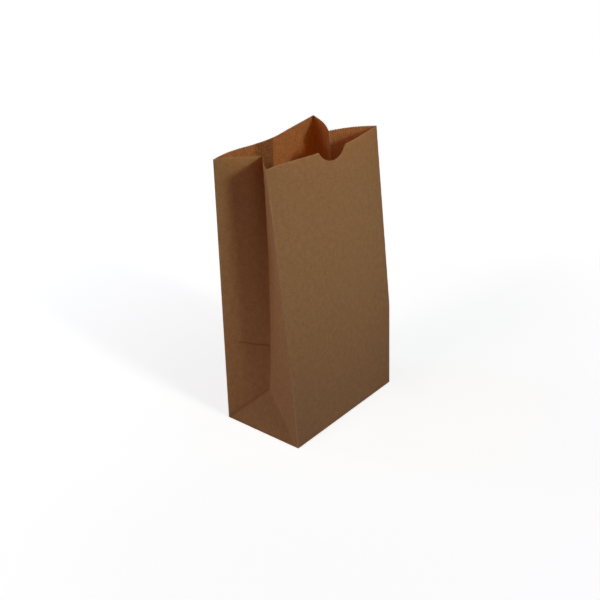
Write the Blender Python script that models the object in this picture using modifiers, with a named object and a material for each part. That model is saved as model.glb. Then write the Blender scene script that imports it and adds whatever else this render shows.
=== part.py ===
"""A kraft paper grocery bag with a square bottom, folded and glued from one sheet, standing open.

Blender 4.5, metres, +Z up. The front, with the thumb notch, faces -Y, and the origin is under the
middle of the bottom. The bag is made as a bag machine makes it: a flat sheet gets its toothed edge,
is scored along its slanting creases, is folded round and closed by a lengthwise lap, and its bottom
flaps are folded in and glued. A gusset's paper keeps its width as it folds, so the opening angle of
each gusset at the mouth settles the shape of its side of the bag.
"""
import math

import bmesh
import bpy
from mathutils import Matrix, Vector

# The flat bag
WIDTH = 0.1524
DEPTH = 0.0921
HEIGHT = 0.281
PAPER = 0.0001
SEAM_LAP = 0.024
SEAM_FROM_MIDDLE = 0.0114
SEAM_EASE = 0.008
BOTTOM_LAP = 0.025
BOTTOM_EASE = 0.004
NOTCH_RADIUS = 0.0185
NOTCH_DEPTH = 0.011
TOOTH_PITCH = 0.0025
TOOTH_DEPTH = 0.0008

# How the bag stands open: the angle that each gusset has folded in by at the mouth, how far the
# mouth has moved from above the bottom, and how far its back edge has slid past its front edge
LEFT_FOLD = math.radians(52.2)
RIGHT_FOLD = math.radians(38.6)
MOUTH_SIDEWAYS = -0.0046
MOUTH_BACKWARDS = 0.0054
MOUTH_RACK = 0.0076

# Share of its lean that each corner fold keeps for above the mark pressed by the folded bottom
LATE_LEAN = {"front left": 0.2, "front right": 0.9, "back right": 0.0, "back left": 0.0}

# Outward swing of each edge of the mouth, as the heights of its first, second and later sine waves
MOUTH_WAVES = {
    "back": (-0.0061, -0.0013, 0.0020, -0.0009),
    "left back": (0.0, -0.0019),
    "left front": (0.0008,),
    "front": (0.0094, -0.0017, -0.0009),
    "right front": (0.0038,),
    "right back": (0.0026,),
}
WAVE_GROWTH = 1.5

# Divisions of the sheet, which are square at the gussets' feet so that the scores meet its corners
PANEL_COLUMNS = 14
GUSSET_COLUMNS = 4
UPPER_ROWS = 10
NOTCH_SIDES = 96

KRAFT_BROWN = (0.195, 0.102, 0.045, 1.0)

HALF_GUSSET = DEPTH / 2
GIRTH = 2 * (WIDTH + DEPTH)
FLAP = HALF_GUSSET + BOTTOM_LAP / 2
SEAM_START = WIDTH / 2 + SEAM_FROM_MIDDLE - SEAM_LAP / 2
SEAM_END = SEAM_START + SEAM_LAP
MARK_HEIGHT = DEPTH
FOOT_LEVEL = 0.75 * PAPER
PLY_BITE = 0.25 * PAPER
NEAR = 1e-6

# Round the bag from its back right corner: each panel, its width and the folds at its two sides
PANELS = (
    ("back", WIDTH, "back right", "back left"),
    ("left back", HALF_GUSSET, "back left", "left crease"),
    ("left front", HALF_GUSSET, "left crease", "front left"),
    ("front", WIDTH, "front left", "front right"),
    ("right front", HALF_GUSSET, "front right", "right crease"),
    ("right back", HALF_GUSSET, "right crease", "back right"),
)


def corner_foot(corner):
    """Bottom end of one of the four corner folds."""
    end, side = corner.split()
    across = WIDTH / 2 if side == "right" else -WIDTH / 2
    return Vector((across, HALF_GUSSET if end == "back" else -HALF_GUSSET, 0.0))


def mouth_chord():
    """Straight distance between the front corners at the mouth, once the front has swung out."""
    bending = sum((wave * size) ** 2 for wave, size in enumerate(MOUTH_WAVES["front"], 1))
    return WIDTH - math.pi**2 * bending / (4 * WIDTH)


def mouth_corner(corner):
    """Top end of one of the four corner folds."""
    end, side = corner.split()
    gape = DEPTH * math.cos(LEFT_FOLD if side == "left" else RIGHT_FOLD)
    across = mouth_chord() / 2 if side == "right" else -mouth_chord() / 2
    middle = Vector((across + MOUTH_SIDEWAYS, MOUTH_BACKWARDS, HEIGHT))
    to_back = Vector((-MOUTH_RACK, math.sqrt(gape**2 - MOUTH_RACK**2), 0.0)) / 2
    return middle + to_back if end == "back" else middle - to_back


def corner_point(corner, height):
    """Point of a corner fold, which leans evenly or saves its lean for above the mark."""
    late = max(0.0, height - MARK_HEIGHT) / (HEIGHT - MARK_HEIGHT)
    lean = height / HEIGHT + (late - height / HEIGHT) * LATE_LEAN[corner]
    point = corner_foot(corner).lerp(mouth_corner(corner), lean)
    point.z = height
    return point


def crease_plan(side, height):
    """Plan of a gusset's middle crease, which the two half gussets push inwards."""
    front = corner_point("front " + side, height)
    half_span = (corner_point("back " + side, height) - front) / 2
    inwards = Vector((half_span.y, -half_span.x, 0.0)).normalized()
    inwards *= 1 if side == "left" else -1
    plan = front + half_span + inwards * math.sqrt(HALF_GUSSET**2 - half_span.length_squared)
    plan.z = 0.0
    return plan


def gusset_apex(side):
    """Point where the middle crease ends and the two slanting creases start."""
    apex = crease_plan(side, HALF_GUSSET)
    inset = apex.x - corner_foot("front " + side).x
    apex.z = math.sqrt(HALF_GUSSET**2 - inset**2)
    return apex


def crease_point(side, height):
    """Point of the middle crease at a height of the sheet, above the apex."""
    apex, top = gusset_apex(side), crease_plan(side, HEIGHT)
    travel = math.hypot(top.x - apex.x, top.y - apex.y)
    climb = math.sqrt(1 - (travel / (HEIGHT - HALF_GUSSET)) ** 2)
    point = crease_plan(side, height)
    point.z = apex.z + (height - HALF_GUSSET) * climb
    return point


def fold_line(name, height):
    """Point of a corner fold or of a gusset's middle crease."""
    return crease_point(name.split()[0], height) if "crease" in name else corner_point(name, height)


def swing(panel, share, height):
    """How far a panel stands out from the straight line between its folds."""
    sizes = enumerate(MOUTH_WAVES[panel], 1)
    outline = sum(size * math.sin(math.pi * wave * share) for wave, size in sizes)
    return outline * (height / HEIGHT) ** WAVE_GROWTH


def fold_panel(panel, start, finish, share, height):
    """Point of the front, the back or a half gusset, on the line between its two folds."""
    low, high = fold_line(start, height), fold_line(finish, height)
    outwards = Vector((high.y - low.y, low.x - high.x, 0.0)).normalized()
    return low.lerp(high, share) + outwards * swing(panel, share, height)


def fold_foot(corner, from_corner, height):
    """Point of a half gusset's foot, beside the slanting crease or on the flat triangle."""
    foot, apex = corner_foot(corner), gusset_apex(corner.split()[1])
    slant = foot.lerp(apex, height / HALF_GUSSET)
    if from_corner > height:
        middle = Vector((foot.x, 0.0, 0.0)).lerp(apex, height / HALF_GUSSET)
        return slant.lerp(middle, (from_corner - height) / (HALF_GUSSET - height))
    return corner_point(corner, height).lerp(slant, from_corner / max(height, NEAR))


def seam_drop(past_lap):
    """Depth of the ply that comes out from under the lap's outer edge and eases back outwards."""
    return PAPER * max(0.0, 1 - past_lap / SEAM_EASE) if past_lap > 0 else 0.0


def fold(along, height):
    """Place in the standing bag of a point of the flat sheet."""
    along %= GIRTH
    for panel, width, start, finish in PANELS:
        if along <= width + NEAR:
            break
        along -= width
    if height < HALF_GUSSET - NEAR and "crease" in finish:
        point = fold_foot(start, along, height)
    elif height < HALF_GUSSET - NEAR and "crease" in start:
        point = fold_foot(finish, width - along, height)
    else:
        point = fold_panel(panel, start, finish, along / width, height)
    if panel == "back":
        point.y -= seam_drop(along - SEAM_END)
    point.z = max(point.z, FOOT_LEVEL)
    return point


def column_places():
    """Distances round the sheet of its columns, starting at the inner edge of the lap."""
    places, start = [], 0.0
    for panel, width, _, _ in PANELS:
        columns = PANEL_COLUMNS if panel in ("front", "back") else GUSSET_COLUMNS
        places += [start + width * column / columns for column in range(columns)]
        start += width
    places = [place for place in places if not SEAM_START <= place <= SEAM_END + SEAM_EASE]
    places += [SEAM_START, SEAM_START + PAPER, (SEAM_START + SEAM_END) / 2]
    places += [SEAM_END - PAPER, SEAM_END, SEAM_END + PAPER, SEAM_END + SEAM_EASE]
    turned = [place + GIRTH if place < SEAM_START else place for place in places]
    return sorted(turned) + [SEAM_START + GIRTH]


def row_places():
    """Heights of the sheet's rows: square cells up to the mark, and then even ones."""
    lower = [HALF_GUSSET * row / GUSSET_COLUMNS for row in range(2 * GUSSET_COLUMNS)]
    step = (HEIGHT - MARK_HEIGHT) / UPPER_ROWS
    return lower + [MARK_HEIGHT + step * row for row in range(UPPER_ROWS + 1)]


def flat_sheet(across, up):
    """The sheet laid flat, with X round the bag and Y up it."""
    sheet = bmesh.new()
    columns, rows = len(across) - 1, len(up) - 1
    bmesh.ops.create_grid(sheet, x_segments=columns, y_segments=rows, size=0.5)
    for vert in sheet.verts:
        column, row = round((vert.co.x + 0.5) * columns), round((vert.co.y + 0.5) * rows)
        vert.co = (across[column], up[row], 0.0)
    return sheet


def score(sheet, corner_place, direction):
    """One slanting crease, from a bottom corner up to the middle of its gusset."""
    faces = []
    for face in sheet.faces:
        middle = face.calc_center_median()
        from_corner = (middle.x - corner_place) * direction
        if 0 < from_corner < HALF_GUSSET and middle.y < HALF_GUSSET:
            faces.append(face)
    edges = {edge for face in faces for edge in face.edges}
    verts = {vert for face in faces for vert in face.verts}
    bmesh.ops.bisect_plane(
        sheet,
        geom=faces + list(edges) + list(verts),
        dist=NEAR,
        plane_co=(corner_place, 0.0, 0.0),
        plane_no=(direction, -1.0, 0.0),
    )


def cut_teeth(sheet):
    """The toothed edge of the mouth, with its points at the full height."""
    top = [edge for edge in sheet.edges if all(v.co.y > HEIGHT - NEAR for v in edge.verts)]
    valleys = {vert for edge in top for vert in edge.verts}
    for edge in top:
        near, far = edge.verts
        halves_left = 2 * round(edge.calc_length() / TOOTH_PITCH)
        while halves_left > 1:
            rest = sheet.edges.get((near, far))
            near = bmesh.utils.edge_split(rest, near, 1 / halves_left)[1]
            if halves_left % 2:
                valleys.add(near)
            halves_left -= 1
    for valley in valleys:
        valley.co.y -= TOOTH_DEPTH


def folded_tube():
    """The sheet folded round and joined, with a note at each point of whether it has two plies.

    It ends as triangles, so that the two sides of the thin paper bend along the same lines.
    """
    sheet = flat_sheet(column_places(), row_places())
    start = 0.0
    for _, width, first, last in PANELS:
        if "crease" in last:
            score(sheet, start + GIRTH if start < SEAM_START else start, 1)
        elif "crease" in first:
            score(sheet, start + width, -1)
        start += width
    cut_teeth(sheet)
    plies = sheet.verts.layers.deform.verify()
    for vert in sheet.verts:
        doubled = SEAM_START + PAPER - NEAR < vert.co.x < SEAM_END + NEAR
        vert[plies][0] = 1.0 if doubled else 0.5
        vert.co = fold(vert.co.x, vert.co.y)
    bmesh.ops.remove_doubles(sheet, verts=sheet.verts, dist=NEAR)
    bmesh.ops.triangulate(sheet, faces=sheet.faces)
    return sheet


def flap(left, right, front, back, level, folded_corners, tuck=0.0):
    """One ply of the bottom, cut at 45 degrees where it is folded over at a corner of the bag.

    A tuck keeps the ply short of that fold, as one that lies inside it does.
    """
    ply = bmesh.new()
    low = level * PAPER - (PLY_BITE if level else 0.0)
    high = (level + 1) * PAPER
    size = Vector((right - left, back - front, high - low))
    middle = Vector(((left + right) / 2, (front + back) / 2, (low + high) / 2))
    bmesh.ops.create_cube(ply, size=1.0, matrix=Matrix.LocRotScale(middle, None, size))
    for corner in folded_corners:
        foot = corner_foot(corner)
        outer = Vector((math.copysign(1, foot.x), -math.copysign(1, foot.y), 0.0)).normalized()
        cut = bmesh.ops.bisect_plane(
            ply,
            geom=ply.verts[:] + ply.edges[:] + ply.faces[:],
            dist=NEAR,
            plane_co=foot - outer * tuck,
            plane_no=outer,
            clear_outer=True,
        )
        rim = [item for item in cut["geom_cut"] if isinstance(item, bmesh.types.BMEdge)]
        bmesh.ops.contextual_create(ply, geom=rim)
    bmesh.ops.recalc_face_normals(ply, faces=ply.faces)
    return ply


def bottom_flaps():
    """The glued plies of the bottom: two long flaps that lap, the folded ears, two side flaps."""
    side, end, lap = WIDTH / 2 - 2 * PAPER, HALF_GUSSET - PAPER / 2, BOTTOM_LAP / 2
    fronts, backs = ("front left", "front right"), ("back left", "back right")
    plies = [
        flap(-side, side, -end, lap, 0, fronts),
        flap(-side, side, lap + BOTTOM_EASE, end, 0, backs),
        flap(-side, side, -lap, lap + 2 * BOTTOM_EASE, 1, backs, PAPER / 2),
    ]
    for name, direction in (("left", -1), ("right", 1)):
        free_edge = direction * (WIDTH / 2 - FLAP)
        near, far = sorted((direction * side, free_edge + direction * PAPER))
        plies.append(flap(near, far, -end, end, 1, ["front " + name], PAPER))
        plies.append(flap(near, far, -end, end, 1, ["back " + name], PAPER))
        apex = gusset_apex(name)
        slope = (WIDTH / 2 - abs(apex.x)) / apex.z
        fold_in = WIDTH / 2 - 2.5 * PAPER * slope - PAPER / 2
        near, far = sorted((direction * fold_in, free_edge))
        plies.append(flap(near, far, -end, end, 2, ()))
    return plies


def notch_cutter():
    """A cylinder through the front alone, whose lower arc is the thumb notch."""
    cutter = bmesh.new()
    middle = fold_panel("front", "front left", "front right", 0.5, HEIGHT)
    middle.z = HEIGHT - NOTCH_DEPTH + NOTCH_RADIUS
    turn = Matrix.Rotation(math.pi / 2, 4, "X")
    bmesh.ops.create_cone(
        cutter,
        cap_ends=True,
        segments=NOTCH_SIDES,
        radius1=NOTCH_RADIUS,
        radius2=NOTCH_RADIUS,
        depth=HALF_GUSSET,
        matrix=Matrix.Translation(middle) @ turn,
    )
    return cutter


def kraft_paper():
    """Unbleached kraft, brown and matt."""
    material = bpy.data.materials.new("kraft_paper")
    material.use_nodes = True
    shader = material.node_tree.nodes["Principled BSDF"]
    shader.inputs["Base Color"].default_value = KRAFT_BROWN
    shader.inputs["Roughness"].default_value = 0.85
    shader.inputs["Metallic"].default_value = 0.0
    return material


def add_collection(name):
    """A new collection of the scene."""
    collection = bpy.data.collections.new(name)
    bpy.context.scene.collection.children.link(collection)
    return collection


def add_object(name, source, collection, helper=False):
    """An object made from a bmesh. A helper only serves a Boolean."""
    mesh = bpy.data.meshes.new(name)
    source.to_mesh(mesh)
    source.free()
    made = bpy.data.objects.new(name, mesh)
    collection.objects.link(made)
    if helper:
        made.hide_render = True
        made.display_type = "WIRE"
    return made


def paper_bag(bag_parts, flaps, cutters):
    """The whole bag: the tube with its thickness, its bottom glued on and its notch cut.

    Its faces are split flat ahead of the joins, and the weld closes what is left along them.
    """
    bag = add_object("paper_bag", folded_tube(), bag_parts)
    bag.data.materials.append(kraft_paper())
    bag.vertex_groups.new(name="plies")
    thickness = bag.modifiers.new("paper", "SOLIDIFY")
    thickness.thickness = 2 * PAPER
    thickness.vertex_group = "plies"
    thickness.offset = -1
    thickness.use_even_offset = True
    bag.modifiers.new("flat faces", "TRIANGULATE")

    for number, ply in enumerate(bottom_flaps()):
        add_object(f"flap_{number}", ply, flaps, helper=True)
    glue = bag.modifiers.new("glued bottom", "BOOLEAN")
    glue.operation = "UNION"
    glue.operand_type = "COLLECTION"
    glue.collection = flaps
    notch = bag.modifiers.new("thumb notch", "BOOLEAN")
    notch.operation = "DIFFERENCE"
    notch.object = add_object("notch_cutter", notch_cutter(), cutters, helper=True)
    bag.modifiers.new("closed joins", "WELD").merge_threshold = NEAR


def main():
    for item in list(bpy.data.objects):
        bpy.data.objects.remove(item)
    parts, flaps = add_collection("paper_bag"), add_collection("bottom_flaps")
    paper_bag(parts, flaps, add_collection("cutters"))


main()
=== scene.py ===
"""Looks of a kraft paper grocery bag: one sheet, scored, folded round, lapped down its back and
folded in at its bottom.

Metres, +Z up, and the front, with the thumb notch, faces -Y. The sheet starts flat, with X round
the bag and Y up it. It is cut and scored there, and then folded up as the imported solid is, with
the same sizes.
"""
import math
from functools import lru_cache

import bmesh
import bpy
from mathutils import Matrix, Vector


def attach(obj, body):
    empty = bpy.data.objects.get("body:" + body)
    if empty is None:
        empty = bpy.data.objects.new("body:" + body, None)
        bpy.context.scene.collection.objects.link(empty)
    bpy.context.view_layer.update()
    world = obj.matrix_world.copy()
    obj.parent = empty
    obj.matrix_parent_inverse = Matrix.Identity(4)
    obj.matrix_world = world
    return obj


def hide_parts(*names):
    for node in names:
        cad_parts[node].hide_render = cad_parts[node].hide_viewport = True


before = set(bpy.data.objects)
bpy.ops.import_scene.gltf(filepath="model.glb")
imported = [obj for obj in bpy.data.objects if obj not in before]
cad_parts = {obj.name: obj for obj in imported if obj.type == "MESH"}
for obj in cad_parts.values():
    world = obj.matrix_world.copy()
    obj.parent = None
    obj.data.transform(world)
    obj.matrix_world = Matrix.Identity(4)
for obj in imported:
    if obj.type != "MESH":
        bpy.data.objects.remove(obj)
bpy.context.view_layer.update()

MM = 0.001

# The flat bag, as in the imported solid
WIDTH = 0.1524
DEPTH = 0.0921
HEIGHT = 0.281
PAPER = 0.0001
SEAM_LAP = 0.024
SEAM_FROM_MIDDLE = 0.0114
SEAM_EASE = 0.008
BOTTOM_LAP = 0.025
NOTCH_RADIUS = 0.0185
NOTCH_DEPTH = 0.011
TOOTH_PITCH = 0.0025
TOOTH_DEPTH = 0.0008

# How it stands open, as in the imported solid
LEFT_FOLD = math.radians(52.2)
RIGHT_FOLD = math.radians(38.6)
MOUTH_SIDEWAYS = -0.0046
MOUTH_BACKWARDS = 0.0054
MOUTH_RACK = 0.0076
LATE_LEAN = {"front left": 0.2, "front right": 0.9, "back right": 0.0, "back left": 0.0}
MOUTH_WAVES = {
    "back": (-0.0061, -0.0013, 0.0020, -0.0009),
    "left back": (0.0, -0.0019),
    "left front": (0.0008,),
    "front": (0.0094, -0.0017, -0.0009),
    "right front": (0.0038,),
    "right back": (0.0026,),
}
WAVE_GROWTH = 1.5

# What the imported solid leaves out: soft folds, and the dents of having been stored folded flat.
# The imprint runs over the inner part of a half gusset, and a dent dies out beside a fold.
FOLD_SOFTNESS = 0.0007
FLAT_FOLD_DEPTH = 0.0004
FLAT_FOLD_REACH = 0.0035
IMPRINT_DEPTH = 0.0008
IMPRINT_REACH = 0.0011
IMPRINT_FROM = 0.3
IMPRINT_WHOLE_FROM = 0.475
DENT_FADE = 0.125

# Widths of a cut's pale fringe, of a fold's painted highlight and of a crease's painted shade and
# highlight, each on one side of its line, and the share that is left of them where they are weaker
FRINGE = 0.0008
FOLD_HIGHLIGHT = 0.0011
FOLD_HIGHLIGHT_ABOVE = 0.3
FOLD_HIGHLIGHT_SLANT = 0.5
CREASED = 0.0013
CREASED_UPRIGHT = 0.5

# Levels of the bottom's plies above the outermost one, in thicknesses of paper, with air between
# them. A side flap rises towards its free edge. Side flaps and ears draw in by one thickness over
# the first few millimetres from the bag's side. The inner ply of the lengthwise lap stands in by
# a little over one.
LAPPED_FLAP_LEVEL = 2.0
EAR_LEVEL = 2.1
SIDE_FLAP_LEVEL = 2.2
SIDE_FLAP_RISE = 2.2
SIDE_FLAP_RISES_FROM = 10 * MM
TUCKED_WITHIN = 3 * MM
INNER_PLY = 1.1

# Mesh of the sheet. Its lines beside a fold, its slanting cuts, the reach of a fold's bend and
# the points that are averaged to round the fold are in units of the fold's softness.
CELL = 0.003
BESIDE_FOLD = (-2.0, -1.0, -0.5, 0.0, 0.5, 1.0, 2.0)
SLANTING_CUTS = (-1.0, 0.0, 1.0)
BEND_REACH = 1.6
NOTCH_STEPS = 28
TOOTH_PARTS = 4
KERNEL = ((-1.0, 1), (-0.5, 2), (0.0, 3), (0.5, 2), (1.0, 1))
RIM_ANGLE = math.radians(50)
NEAR = 1e-6

# Patterns in the paper: cell round the bag, cell up it, and octaves. Fibres are about 0.03 mm
# thick and drawn some ten times coarser, so that they show. The marks of the felt that the pulp
# dried on are about 1 mm wide, and the clouds of matted fibres 5 to 10 mm.
FIBRES = (0.35 * MM, 0.5 * MM, 2.0)
FELT = (1.2 * MM, 1.0 * MM, 0.0)
CLOUDS = (5 * MM, 6 * MM, 3.0)
OCTAVE_WEIGHT = 0.6

# The weight of each pattern in the paper's shade, and in how thin the paper is
FIBRES_IN_SHADE = 2.0
FELT_IN_SHADE = 2.1
CLOUDS_IN_SHADE = 0.8
FELT_IN_THINNESS = -6.0
CLOUDS_IN_THINNESS = 1.5

# Colours of the sheet's two faces: the dark and the light of its shade, paper with glue behind it
# and painted shade of the doubled paper, a crease's painted shade (outside) and highlight (inside),
# the painted highlight of a corner fold and of a cut with its torn fibres, and light that comes
# through it where it lies dense and where it lies thin
OUTSIDE = ("#8A6440", "#BA9664", "#9C794F", "#6B4A2C", "#CDB08A", "#BF7F40", "#D6924E")
# The inside's dark and light are more orange than the outside's: a painted glow of the light that
# comes through the paper
INSIDE = ("#925F31", "#B2855A", "#845028", "#CDB08A", "#CDB08A", "#96571C", "#F4AA60")
# Colour of the cut itself: pale torn fibres, and a painted highlight of the edge
CUT_AND_HIGHLIGHT = "#9C7653"

# How far those colours take over from the shade: the glue with painted shade, a crease's painted
# shade and highlight, a fold's painted highlight, and a cut's torn fibres with a painted highlight
PASTE_AND_SHADE = 0.6
CREASE_SHADING_SHARE = 0.85
FOLD_HIGHLIGHT_SHARE = 0.8
TORN_AND_HIGHLIGHT = 0.9

# Surface of the paper
ROUGHNESS = 0.82
CUT_ROUGHNESS = 0.9
GLOSS = 0.25
RELIEF = 0.03 * MM
RELIEF_STRENGTH = 0.3
SHOW_THROUGH = 0.4

# Lamps: name, azimuth from +X and elevation in degrees, height aimed at, size in metres, spread
# in degrees, watts and linear colour. Their powers and colours are fitted to the photograph.
LAMP_DISTANCE = 1.5
LAMPS = (
    ("key", -96, 26, 0.22, (0.3, 0.2), 30, 0.42, (0.94, 1.0, 0.83)),
    ("front_fill", -65, 8, HEIGHT / 2, (0.6, 0.6), 180, 1.56, (0.93, 0.98, 0.77)),
    ("low_front_fill", -90, 3, 0.03, (0.6, 0.3), 60, 0.42, (0.3, 0.26, 1.0)),
    ("rear_fill", 115, 10, HEIGHT / 2, (0.5, 0.5), 180, 4.6, (0.54, 0.68, 1.0)),
    ("low_left_fill", 155, 5, 0.03, (0.6, 0.3), 40, 0.19, (1.0, 0.84, 0.89)),
    ("mouth_light", 170, 20, HEIGHT, (0.6, 0.6), 30, 0.44, (1.0, 0.76, 0.7)),
)

# White surroundings, which light the bag only faintly, and the floor. Its grey paint holds the
# bag's shadow, and a glow that grows from the bag outwards makes it white in the picture.
WHITE = (1.0, 1.0, 1.0, 1.0)
SURROUNDINGS_LIGHT = 0.01
FLOOR_HALF_WIDTH = 3.0
FLOOR_PAINT = "#C8C8C8"
GLOW_STARTS = 0.1
GLOW_IS_WHOLE = 0.6
GLOW_AT_BAG = 0.8

# The photograph's viewpoint, found from the folds and corners of the bag in it
SENSOR_MM = 36.0
LENS_MM = 62.53
CAMERA_PLACE = Vector((-0.701168, -0.591042, 0.589332))
CAMERA_RIGHT = Vector((0.637184, -0.769983, -0.033520))
CAMERA_UP = Vector((0.372269, 0.269399, 0.888167))
CAMERA_FORWARD = Vector((0.674843, 0.578404, -0.458297))

HALF_GUSSET = DEPTH / 2
GIRTH = 2 * (WIDTH + DEPTH)
FLAP = HALF_GUSSET + BOTTOM_LAP / 2
SEAM_START = WIDTH / 2 + SEAM_FROM_MIDDLE - SEAM_LAP / 2
SEAM_END = SEAM_START + SEAM_LAP
FRONT_MIDDLE = WIDTH + DEPTH + WIDTH / 2
NOTCH_CENTRE = HEIGHT - NOTCH_DEPTH + NOTCH_RADIUS
NOTCH_HALF = math.acos((NOTCH_RADIUS - NOTCH_DEPTH) / NOTCH_RADIUS)
DRAWN_ABOVE = HEIGHT - 2 * NOTCH_DEPTH

# Round the bag from its back right corner: each panel, its width and the folds at its two sides
PANELS = (
    ("back", WIDTH, "back right", "back left"),
    ("left back", HALF_GUSSET, "back left", "left crease"),
    ("left front", HALF_GUSSET, "left crease", "front left"),
    ("front", WIDTH, "front left", "front right"),
    ("right front", HALF_GUSSET, "front right", "right crease"),
    ("right back", HALF_GUSSET, "right crease", "back right"),
)
STORED_FOLDED = ("back", "left back", "right back")


# Fold lines of the standing bag


def corner_foot(corner):
    """Bottom end of one of the four corner folds."""
    end, side = corner.split()
    across = WIDTH / 2 if side == "right" else -WIDTH / 2
    return Vector((across, HALF_GUSSET if end == "back" else -HALF_GUSSET, 0.0))


def mouth_chord():
    """Straight distance between the front corners at the mouth, once the front has swung out."""
    bending = sum((wave * size) ** 2 for wave, size in enumerate(MOUTH_WAVES["front"], 1))
    return WIDTH - math.pi**2 * bending / (4 * WIDTH)


def mouth_corner(corner):
    """Top end of one of the four corner folds."""
    end, side = corner.split()
    gape = DEPTH * math.cos(LEFT_FOLD if side == "left" else RIGHT_FOLD)
    across = mouth_chord() / 2 if side == "right" else -mouth_chord() / 2
    middle = Vector((across + MOUTH_SIDEWAYS, MOUTH_BACKWARDS, HEIGHT))
    to_back = Vector((-MOUTH_RACK, math.sqrt(gape**2 - MOUTH_RACK**2), 0.0)) / 2
    return middle + to_back if end == "back" else middle - to_back


def corner_point(corner, height):
    """Point of a corner fold, which leans evenly or saves its lean for above the imprint."""
    late = max(0.0, height - DEPTH) / (HEIGHT - DEPTH)
    lean = height / HEIGHT + (late - height / HEIGHT) * LATE_LEAN[corner]
    point = corner_foot(corner).lerp(mouth_corner(corner), lean)
    point.z = height
    return point


def crease_plan(side, height):
    """Plan of a gusset's middle crease, which the two half gussets push inwards."""
    front = corner_point("front " + side, height)
    half_span = (corner_point("back " + side, height) - front) / 2
    inwards = Vector((half_span.y, -half_span.x, 0.0)).normalized()
    inwards *= 1 if side == "left" else -1
    plan = front + half_span + inwards * math.sqrt(HALF_GUSSET**2 - half_span.length_squared)
    plan.z = 0.0
    return plan


@lru_cache(maxsize=None)
def gusset_apex(side):
    """Point where the middle crease ends and the two slanting creases start."""
    apex = crease_plan(side, HALF_GUSSET)
    inset = apex.x - corner_foot("front " + side).x
    apex.z = math.sqrt(HALF_GUSSET**2 - inset**2)
    return apex.freeze()


@lru_cache(maxsize=None)
def fold_line(name, height):
    """Point of a corner fold or, above its apex, of a gusset's middle crease."""
    if "crease" not in name:
        return corner_point(name, height).freeze()
    side = name.split()[0]
    apex, top = gusset_apex(side), crease_plan(side, HEIGHT)
    travel = math.hypot(top.x - apex.x, top.y - apex.y)
    climb = math.sqrt(1 - (travel / (HEIGHT - HALF_GUSSET)) ** 2)
    point = crease_plan(side, height)
    point.z = apex.z + (height - HALF_GUSSET) * climb
    return point.freeze()


# The map from the flat sheet to the standing bag


def rise(value, start, stop):
    """From 0 at the start to 1 at the stop, and level beyond them."""
    return min(1.0, max(0.0, (value - start) / (stop - start)))


def swing(panel, share, height):
    """How far a panel stands out from the straight line between its folds."""
    sizes = enumerate(MOUTH_WAVES[panel], 1)
    outline = sum(size * math.sin(math.pi * wave * share) for wave, size in sizes)
    return outline * (height / HEIGHT) ** WAVE_GROWTH


def storage_marks(panel, share, height):
    """How far the old flat fold, and the imprint of the bottom's edge, sink into a panel."""
    if panel not in STORED_FOLDED:
        return 0.0
    from_fold = min(share, 1 - share) if panel == "back" else 4 * share * (1 - share)
    flat_fold = FLAT_FOLD_DEPTH * math.exp(-abs(height - HALF_GUSSET) / FLAT_FOLD_REACH)
    imprint = IMPRINT_DEPTH * math.exp(-(((height - DEPTH) / IMPRINT_REACH) ** 2))
    if panel != "back":
        inner = share if panel == "left back" else 1 - share
        imprint *= rise(inner, IMPRINT_FROM, IMPRINT_WHOLE_FROM)
    return (flat_fold + imprint) * rise(from_fold, 0.0, DENT_FADE)


def fold_panel(panel, start, finish, share, height):
    """Point of the front, the back or a half gusset, on the line between its two folds."""
    low, high = fold_line(start, height), fold_line(finish, height)
    outwards = Vector((high.y - low.y, low.x - high.x, 0.0)).normalized()
    stand_out = swing(panel, share, height) - storage_marks(panel, share, height)
    return low.lerp(high, share) + outwards * stand_out


def fold_foot(corner, from_corner, height):
    """Point of a half gusset's foot, beside the slanting crease or on the flat triangle."""
    foot, apex = corner_foot(corner), gusset_apex(corner.split()[1])
    slant = foot.lerp(apex, height / HALF_GUSSET)
    if from_corner > height:
        middle = Vector((foot.x, 0.0, 0.0)).lerp(apex, height / HALF_GUSSET)
        return slant.lerp(middle, (from_corner - height) / (HALF_GUSSET - height))
    return corner_point(corner, height).lerp(slant, from_corner / max(height, NEAR))


def fold_under(corner, from_corner, depth, on_gusset):
    """Point of the bottom: a side flap, an ear folded over at 45 degrees, or a long flap.

    The front's long flap is the outermost, and the back's lies over it in the lap. The outer face
    of an ear looks up, so its level is that of its upper face.
    """
    foot = corner_foot(corner)
    inwards = Vector((-math.copysign(1, foot.x), -math.copysign(1, foot.y), 0.0))
    ear = not on_gusset and from_corner < depth
    across, along = (depth, from_corner) if on_gusset or ear else (from_corner, depth)
    if on_gusset or ear:
        along += PAPER * rise(across, 0.0, TUCKED_WITHIN)
    point = foot + Vector((across * inwards.x, along * inwards.y, 0.0))
    if on_gusset:
        risen = rise(depth, SIDE_FLAP_RISES_FROM, HALF_GUSSET - BOTTOM_LAP / 2)
        level = SIDE_FLAP_LEVEL + SIDE_FLAP_RISE * risen
    else:
        level = EAR_LEVEL if ear else 0.0
        if foot.y > 0:
            lapped = rise(point.y, BOTTOM_LAP / 2 + SEAM_EASE, BOTTOM_LAP / 2)
            level += LAPPED_FLAP_LEVEL * lapped
    point.z = level * PAPER
    return point


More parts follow.
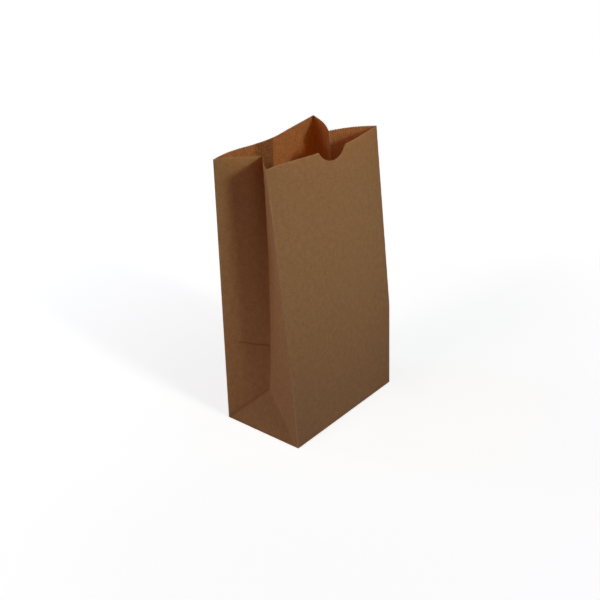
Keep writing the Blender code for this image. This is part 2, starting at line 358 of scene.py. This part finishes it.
def fold(place, height):
    """Place in the standing bag of a point of the flat sheet."""
    along = place % GIRTH
    for panel, width, start, finish in PANELS:
        if along <= width + NEAR:
            break
        along -= width
    gusset = "crease" in start + finish
    if height < 0:
        near_start = "crease" in finish or (not gusset and along < width / 2)
        corner = start if near_start else finish
        point = fold_under(corner, along if near_start else width - along, -height, gusset)
    elif height < HALF_GUSSET and "crease" in finish:
        point = fold_foot(start, along, height)
    elif height < HALF_GUSSET and "crease" in start:
        point = fold_foot(finish, width - along, height)
    else:
        point = fold_panel(panel, start, finish, along / width, height)
    if panel == "back" and place < SEAM_END + SEAM_EASE:
        inset = INNER_PLY * PAPER * rise(place, SEAM_END + SEAM_EASE, SEAM_END)
        point += Vector((0.0, 0.0, inset)) if height < 0 else Vector((0.0, -inset, 0.0))
    return point


def soft_fold(place, height):
    """Place in the standing bag with every fold rounded: the mean of the places round it."""
    total, weights = Vector(), 0
    for aside, weight in KERNEL:
        for up, other in KERNEL:
            spot = fold(place + aside * FOLD_SOFTNESS, height + up * FOLD_SOFTNESS)
            total += spot * weight * other
            weights += weight * other
    return total / weights


def near_fold(place, height):
    """Whether any fold passes so near to a point of the sheet that it bends it."""
    reach = BEND_REACH * FOLD_SOFTNESS
    if abs(height) < reach or abs(height - HALF_GUSSET) < reach:
        return True
    for line in FOLD_PLACES:
        if abs(place - line) < reach:
            return True
    for corner, direction in CORNER_PLACES:
        if abs((place - corner) * direction - height) < 2 * reach and height < HALF_GUSSET:
            return True
    return False


def fold_places():
    """Places of the upright folds, twice round, and of the corners with the gusset's direction."""
    folds, corners, start = [], [], 0.0
    for panel, width, _, finish in PANELS * 2:
        start += width
        folds.append(start)
        if "crease" not in finish:
            corners.append((start, 1 if panel in ("back", "front") else -1))
    return folds, corners


FOLD_PLACES, CORNER_PLACES = fold_places()


# The flat sheet


def places(low, high, marks):
    """Places from low to high that take in every mark and lie no more than a cell apart."""
    stops = sorted({low, high, *(mark for mark in marks if low < mark < high)})
    found = [low]
    for near, far in zip(stops, stops[1:]):
        parts = math.ceil((far - near) / CELL)
        found += [near + (far - near) * part / parts for part in range(1, parts + 1)]
    return found


def column_places():
    """Places of the sheet's columns, from the lap's inner edge round to its outer edge."""
    marks = [line + FOLD_SOFTNESS * step for line in FOLD_PLACES for step in BESIDE_FOLD]
    marks += [SEAM_END, SEAM_END + PAPER, SEAM_END + SEAM_EASE, SEAM_START + GIRTH]
    for step in range(NOTCH_STEPS + 1):
        turn = NOTCH_HALF * (2 * step / NOTCH_STEPS - 1)
        marks.append(FRONT_MIDDLE + NOTCH_RADIUS * math.sin(turn))
    return places(SEAM_START, SEAM_END + GIRTH, marks)


def row_places():
    """Heights of the sheet's rows, from the free edge of the bottom flaps up to the mouth."""
    lines = (0.0, HALF_GUSSET, DEPTH)
    marks = [line + FOLD_SOFTNESS * step for line in lines for step in BESIDE_FOLD]
    marks += [DRAWN_ABOVE, HEIGHT - TOOTH_PITCH]
    return places(-FLAP, HEIGHT, marks)


def flat_sheet(across, up):
    """The sheet laid flat, before it is cut."""
    sheet = bmesh.new()
    columns, rows = len(across) - 1, len(up) - 1
    bmesh.ops.create_grid(sheet, x_segments=columns, y_segments=rows, size=0.5)
    for vert in sheet.verts:
        column, row = round((vert.co.x + 0.5) * columns), round((vert.co.y + 0.5) * rows)
        vert.co = (across[column], up[row], 0.0)
    return sheet


def score(sheet, corner, direction):
    """The slanting creases that meet at a corner, each as cuts beside each other.

    One runs up to the middle of the gusset and the other down across the end of a long flap.
    """
    for step in SLANTING_CUTS:
        faces = []
        for face in sheet.faces:
            middle = face.calc_center_median()
            from_corner = (middle.x - corner) * direction
            if -FLAP < from_corner < HALF_GUSSET and middle.y < HALF_GUSSET:
                if from_corner * middle.y > 0:
                    faces.append(face)
        edges = {edge for face in faces for edge in face.edges}
        verts = {vert for face in faces for vert in face.verts}
        bmesh.ops.bisect_plane(
            sheet,
            geom=faces + list(edges) + list(verts),
            dist=NEAR,
            plane_co=(corner + step * FOLD_SOFTNESS, 0.0, 0.0),
            plane_no=(direction, -1.0, 0.0),
        )


def cut_teeth(sheet):
    """The toothed edge of the mouth, with its points at the full height."""
    top = [edge for edge in sheet.edges if all(v.co.y > HEIGHT - NEAR for v in edge.verts)]
    for edge in top:
        near, far = edge.verts
        parts = max(1, round(TOOTH_PARTS * edge.calc_length() / TOOTH_PITCH))
        while parts > 1:
            rest = sheet.edges.get((near, far))
            near = bmesh.utils.edge_split(rest, near, 1 / parts)[1]
            parts -= 1
    for vert in sheet.verts:
        if vert.co.y > HEIGHT - NEAR:
            from_point = abs((vert.co.x / TOOTH_PITCH) % 1 - 0.5) * 2
            vert.co.y -= TOOTH_DEPTH * from_point


def cut_notch(sheet):
    """The half-round thumb notch: the columns under it are drawn down to its arc."""
    for vert in sheet.verts:
        aside = abs(vert.co.x - FRONT_MIDDLE)
        if vert.co.y > DRAWN_ABOVE and aside < NOTCH_RADIUS * math.sin(NOTCH_HALF) + NEAR:
            arc = NOTCH_CENTRE - math.sqrt(NOTCH_RADIUS**2 - aside**2)
            share = rise(vert.co.y, DRAWN_ABOVE, HEIGHT)
            vert.co.y = DRAWN_ABOVE + (arc - DRAWN_ABOVE) * share


def fold_highlight_at(place, height):
    """How strong the painted highlight is along the corner folds and the front left slanting crease,
    most at the bottom.
    """
    from_fold = min(abs(place - corner) for corner, _ in CORNER_PLACES)
    fold_highlight = max(0.0, 1 - from_fold / FOLD_HIGHLIGHT)
    if 0 < height < HALF_GUSSET:
        for corner, direction in CORNER_PLACES:
            if abs(corner % GIRTH - (WIDTH + DEPTH)) < NEAR:
                from_slant = abs((place - corner) * direction - height)
                fold_highlight = max(fold_highlight, FOLD_HIGHLIGHT_SLANT * (1 - from_slant / FOLD_HIGHLIGHT))
    return fold_highlight * (FOLD_HIGHLIGHT_ABOVE + (1 - FOLD_HIGHLIGHT_ABOVE) * rise(abs(height), DEPTH, 0.0))


def crease_shading_at(place, height):
    """How far the gussets' creases, the back slanting ones and the imprint are painted: shade
    outside, highlight inside.
    """
    along = place % GIRTH
    from_back = min(abs(along - WIDTH), GIRTH - along)
    creased = 0.0
    if height > HALF_GUSSET:
        creased = CREASED_UPRIGHT * (1 - abs(from_back - HALF_GUSSET) / CREASED)
        if along > WIDTH and IMPRINT_FROM * HALF_GUSSET < from_back < HALF_GUSSET:
            creased = max(creased, 1 - abs(height - DEPTH) / CREASED)
    elif height > 0 and along > WIDTH:
        creased = 1 - abs(from_back - height) / CREASED
    return max(0.0, creased)


def fold_sheet(sheet):
    """Folds the flat sheet into the bag, and keeps its flat places as its UV map."""
    flat = sheet.loops.layers.uv.new("sheet")
    fold_highlight = sheet.verts.layers.float.new("fold_highlight")
    creased = sheet.verts.layers.float.new("creased")
    for face in sheet.faces:
        face.smooth = True
        for loop in face.loops:
            loop[flat].uv = loop.vert.co.xy
    for vert in sheet.verts:
        place, height, _ = vert.co
        # Painted highlight along the corner folds
        vert[fold_highlight] = fold_highlight_at(place, height)
        # Painted shade outside and a painted highlight inside along the creases
        vert[creased] = crease_shading_at(place, height)
        vert.co = soft_fold(place, height) if near_fold(place, height) else fold(place, height)


def paper_bag(materials):
    """The bag in its paper's thickness, as one sheet from the lap's inner edge to its outer edge."""
    sheet = flat_sheet(column_places(), row_places())
    for corner, direction in CORNER_PLACES:
        score(sheet, corner, direction)
    cut_teeth(sheet)
    cut_notch(sheet)
    fold_sheet(sheet)
    bmesh.ops.triangulate(sheet, faces=sheet.faces)
    mesh = bpy.data.meshes.new("folded_sheet")
    sheet.to_mesh(mesh)
    sheet.free()
    bag = bpy.data.objects.new("folded_paper_bag", mesh)
    bpy.context.scene.collection.objects.link(bag)
    for material in materials:
        mesh.materials.append(material)
    wall = bag.modifiers.new("paper", "SOLIDIFY")
    wall.thickness = PAPER
    wall.offset = -1
    wall.material_offset = 1
    wall.material_offset_rim = 2
    graph = bpy.context.evaluated_depsgraph_get()
    bag.data = bpy.data.meshes.new_from_object(bag.evaluated_get(graph))
    bag.modifiers.clear()
    bag.data.set_sharp_from_angle(angle=RIM_ANGLE)
    return bag


# Materials


def linear(code):
    """Linear colour of an sRGB hex value."""
    channels = [int(code[place:place + 2], 16) / 255 for place in (1, 3, 5)]
    curve = [c / 12.92 if c <= 0.04045 else ((c + 0.055) / 1.055) ** 2.4 for c in channels]
    return (*curve, 1.0)


def add(tree, kind, inputs=None, **settings):
    """One node with its settings, each input either linked to a socket or set to a value."""
    node = tree.nodes.new("ShaderNode" + kind)
    for name, value in settings.items():
        setattr(node, name, value)
    for name, value in (inputs or {}).items():
        if isinstance(value, bpy.types.NodeSocket):
            tree.links.new(value, node.inputs[name])
        else:
            node.inputs[name].default_value = value
    return node


def empty_material(name):
    """An empty material, and its node tree to fill."""
    material = bpy.data.materials.new(name)
    material.use_nodes = True
    material.node_tree.nodes.clear()
    return material, material.node_tree


def pattern(tree, flat, size):
    """One of the paper's patterns, from 0 to 1, laid out on the flat sheet."""
    across, up, octaves = size
    cells = add(tree, "Mapping", {"Vector": flat, "Scale": (1 / across, 1 / up, 1.0)})
    drawn = add(
        tree, "TexNoise",
        {
            "Vector": cells.outputs["Vector"],
            "Scale": 1.0,
            "Detail": octaves,
            "Roughness": OCTAVE_WEIGHT,
        },
        noise_dimensions="2D",
    )
    return drawn.outputs["Fac"]


def weigh(tree, patterns):
    """Sum of patterns by their weights, with 0.5 in its middle."""
    total = 0.5
    for drawn, weight in patterns:
        weighed = add(
            tree, "Math", {0: drawn, 1: weight, 2: -weight / 2}, operation="MULTIPLY_ADD"
        )
        both = add(tree, "Math", {0: total, 1: weighed.outputs["Value"]}, operation="ADD")
        total = both.outputs["Value"]
    return total


def beside_cut(tree, flat):
    """1 at the toothed edge of the mouth and at the notch, and 0 from a fringe's width below."""
    along, up = add(tree, "SeparateXYZ", {"Vector": flat}).outputs[:2]
    tooth = add(tree, "Math", {0: along, 1: TOOTH_PITCH / 2}, operation="PINGPONG")
    below_valleys = add(
        tree, "Math", {0: up, 1: -1.0, 2: HEIGHT - TOOTH_DEPTH}, operation="MULTIPLY_ADD"
    )
    from_mouth = add(
        tree, "Math",
        {
            0: tooth.outputs["Value"],
            1: 2 * TOOTH_DEPTH / TOOTH_PITCH,
            2: below_valleys.outputs["Value"],
        },
        operation="MULTIPLY_ADD",
    )
    from_centre = add(
        tree, "VectorMath", {0: flat, 1: (FRONT_MIDDLE, NOTCH_CENTRE, 0.0)}, operation="DISTANCE"
    )
    from_notch = add(
        tree, "Math", {0: from_centre.outputs["Value"], 1: NOTCH_RADIUS}, operation="SUBTRACT"
    )
    nearest = add(
        tree, "Math",
        {0: from_mouth.outputs["Value"], 1: from_notch.outputs["Value"]}, operation="MINIMUM",
    )
    fringe = add(
        tree, "MapRange",
        {"Value": nearest.outputs["Value"], 1: 0.0, 2: FRINGE, 3: 1.0, 4: 0.0},
    )
    return fringe.outputs["Result"]


def in_lap(tree, flat):
    """1 on the two ends of the sheet that are glued together, and 0 between them."""
    along = add(tree, "SeparateXYZ", {"Vector": flat}).outputs["X"]
    middle = (SEAM_START + SEAM_END + GIRTH) / 2
    aside = add(tree, "Math", {0: along, 1: middle}, operation="SUBTRACT")
    from_middle = add(tree, "Math", {0: aside.outputs["Value"]}, operation="ABSOLUTE")
    lapped = add(
        tree, "Math",
        {0: from_middle.outputs["Value"], 1: (GIRTH - SEAM_LAP) / 2}, operation="GREATER_THAN",
    )
    return lapped.outputs["Value"]


def kraft(name, dark, light, pasted_and_shaded, crease_shade_and_highlight, pale_highlight, dense, thin):
    """Unbleached kraft from a paper machine: matt, with its fibres matted into uneven clouds.

    Light on one side of the sheet shows through on the other, most where the fibres lie thin. The
    paper is darker where glue lies behind it, with painted shade there for the doubled paper. Its
    creases carry painted shade outside and a painted highlight inside, and its corner folds a painted
    highlight. Along a cut it is pale with torn fibres and a painted highlight.
    """
    material, tree = empty_material(name)
    flat = add(tree, "UVMap", uv_map="sheet").outputs["UV"]
    fibres, felt, clouds = (pattern(tree, flat, size) for size in (FIBRES, FELT, CLOUDS))
    shade = weigh(
        tree, ((fibres, FIBRES_IN_SHADE), (felt, FELT_IN_SHADE), (clouds, CLOUDS_IN_SHADE))
    )
    # Darker on the lap: glue behind the paper, and painted shade where the doubled paper lets less
    # light through
    paste_and_shade = add(tree, "Math", {0: in_lap(tree, flat), 1: PASTE_AND_SHADE}, operation="MULTIPLY")
    # Painted shade along the creases outside, and a painted highlight along them inside
    creased = add(tree, "Attribute", attribute_name="creased").outputs["Fac"]
    crease_painting = add(tree, "Math", {0: creased, 1: CREASE_SHADING_SHARE}, operation="MULTIPLY")
    # Painted highlight along the corner folds
    fold_highlight = add(tree, "Attribute", attribute_name="fold_highlight").outputs["Fac"]
    fold_highlight_part = add(tree, "Math", {0: fold_highlight, 1: FOLD_HIGHLIGHT_SHARE}, operation="MULTIPLY")
    # Pale along the cut: torn fibres, and a painted highlight of the edge
    torn_and_highlight = add(tree, "Math", {0: beside_cut(tree, flat), 1: TORN_AND_HIGHLIGHT}, operation="MULTIPLY")
    pale_highlight_share = add(
        tree, "Math", {0: fold_highlight_part.outputs["Value"], 1: torn_and_highlight.outputs["Value"]}, operation="MAXIMUM"
    )
    colour = linear(dark)
    for share, other in (
        (shade, light),
        (paste_and_shade.outputs["Value"], pasted_and_shaded),
        (crease_painting.outputs["Value"], crease_shade_and_highlight),
        (pale_highlight_share.outputs["Value"], pale_highlight),
    ):
        mixed = add(
            tree, "Mix", {0: share, 6: colour, 7: linear(other)},
            data_type="RGBA", clamp_factor=True,
        )
        colour = mixed.outputs[2]
    relief = add(tree, "Bump", {"Height": shade, "Strength": RELIEF_STRENGTH, "Distance": RELIEF})
    paper = add(
        tree, "BsdfPrincipled",
        {
            "Base Color": colour,
            "Roughness": ROUGHNESS,
            "Specular IOR Level": GLOSS,
            "Normal": relief.outputs["Normal"],
        },
    )
    thinness = weigh(tree, ((felt, FELT_IN_THINNESS), (clouds, CLOUDS_IN_THINNESS)))
    through = add(
        tree, "Mix", {0: thinness, 6: linear(dense), 7: linear(thin)},
        data_type="RGBA", clamp_factor=True,
    )
    glow = add(tree, "BsdfTranslucent", {"Color": through.outputs[2]})
    surface = add(
        tree, "MixShader", {0: SHOW_THROUGH, 1: paper.outputs["BSDF"], 2: glow.outputs["BSDF"]}
    )
    add(tree, "OutputMaterial", {"Surface": surface.outputs["Shader"]})
    return material


def torn_edge_and_highlight():
    """The cut through the sheet, paler than its faces because its fibres are torn open, and with a
    painted highlight of the edge.
    """
    material, tree = empty_material("torn_kraft_edge_highlight")
    paper = add(
        tree, "BsdfPrincipled", {"Base Color": linear(CUT_AND_HIGHLIGHT), "Roughness": CUT_ROUGHNESS}
    )
    add(tree, "OutputMaterial", {"Surface": paper.outputs["BSDF"]})
    return material


# The studio


def aim(item, place, target):
    """Puts a lamp at a place, turned to a target."""
    item.matrix_world = Matrix.LocRotScale(
        place, (target - place).to_track_quat("-Z", "Y"), None
    )


def add_softbox(name, azimuth, elevation, aim_height, size, spread, power, colour):
    """A rectangular lamp that looks at the bag. Azimuth 0 is along +X, and 90 along +Y."""
    lamp = bpy.data.lights.new(name, "AREA")
    lamp.shape = "RECTANGLE"
    lamp.size, lamp.size_y = size
    lamp.spread = math.radians(spread)
    lamp.energy = power
    lamp.color = colour
    item = bpy.data.objects.new(name, lamp)
    bpy.context.scene.collection.objects.link(item)
    turn, lift = math.radians(azimuth), math.radians(elevation)
    way = Vector((math.cos(turn) * math.cos(lift), math.sin(turn) * math.cos(lift), math.sin(lift)))
    middle = Vector((0.0, 0.0, HEIGHT / 2))
    aim(item, middle + way * LAMP_DISTANCE, Vector((0.0, 0.0, aim_height)))


def add_camera():
    """The photograph's own viewpoint."""
    camera = bpy.data.cameras.new("photo_view")
    camera.sensor_width = SENSOR_MM
    camera.lens = LENS_MM
    item = bpy.data.objects.new("photo_view", camera)
    bpy.context.scene.collection.objects.link(item)
    axes = Matrix((CAMERA_RIGHT, CAMERA_UP, -CAMERA_FORWARD)).transposed()
    item.matrix_world = Matrix.LocRotScale(CAMERA_PLACE, axes.to_quaternion(), None)
    bpy.context.scene.camera = item


def seen(tree):
    """1 for a ray of the camera, a reflection or a view through something, and 0 for lighting.

    Light that scatters on its way through the paper counts as seen too, so what is white in the
    picture adds to the paper's glow.
    """
    path = add(tree, "LightPath")
    first = add(
        tree, "Math",
        {0: path.outputs["Is Camera Ray"], 1: path.outputs["Is Glossy Ray"]}, operation="MAXIMUM",
    )
    both = add(
        tree, "Math",
        {0: first.outputs["Value"], 1: path.outputs["Is Transmission Ray"]}, operation="MAXIMUM",
    )
    return both.outputs["Value"]


def add_world():
    """White surroundings, which light the bag at a strength of their own."""
    world = bpy.data.worlds.new("white_studio")
    world.use_nodes = True
    tree = world.node_tree
    tree.nodes.clear()
    lighting = add(tree, "Background", {"Color": WHITE, "Strength": SURROUNDINGS_LIGHT})
    backdrop = add(tree, "Background", {"Color": WHITE, "Strength": 1.0})
    shown = add(
        tree, "MixShader",
        {0: seen(tree), 1: lighting.outputs["Background"], 2: backdrop.outputs["Background"]},
    )
    add(tree, "OutputWorld", {"Surface": shown.outputs["Shader"]})
    bpy.context.scene.world = world


def add_floor():
    """A wide white floor that keeps the bag's soft shadow."""
    shape = bmesh.new()
    bmesh.ops.create_grid(shape, x_segments=1, y_segments=1, size=FLOOR_HALF_WIDTH)
    mesh = bpy.data.meshes.new("studio_floor")
    shape.to_mesh(mesh)
    shape.free()
    floor = bpy.data.objects.new("studio_floor", mesh)
    bpy.context.scene.collection.objects.link(floor)
    material, tree = empty_material("white_studio_floor")
    place = add(tree, "TexCoord").outputs["Object"]
    from_bag = add(tree, "VectorMath", {0: place}, operation="LENGTH").outputs["Value"]
    strength = add(
        tree, "MapRange",
        {"Value": from_bag, 1: GLOW_STARTS, 2: GLOW_IS_WHOLE, 3: GLOW_AT_BAG, 4: 1.0},
    )
    paint = add(tree, "BsdfDiffuse", {"Color": linear(FLOOR_PAINT)})
    white = add(tree, "Emission", {"Color": WHITE, "Strength": strength.outputs["Result"]})
    bright = add(tree, "AddShader", {0: paint.outputs["BSDF"], 1: white.outputs["Emission"]})
    shown = add(
        tree, "MixShader", {0: seen(tree), 1: paint.outputs["BSDF"], 2: bright.outputs["Shader"]}
    )
    add(tree, "OutputMaterial", {"Surface": shown.outputs["Shader"]})
    mesh.materials.append(material)


def main():
    add_camera()
    add_world()
    for lamp in LAMPS:
        add_softbox(*lamp)
    add_floor()
    bpy.context.scene.view_settings.view_transform = "Standard"
    outside, inside = kraft("kraft_outside", *OUTSIDE), kraft("kraft_inside", *INSIDE)
    bag = paper_bag((outside, inside, torn_edge_and_highlight()))
    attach(bag, "root")
    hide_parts("paper_bag")


main()
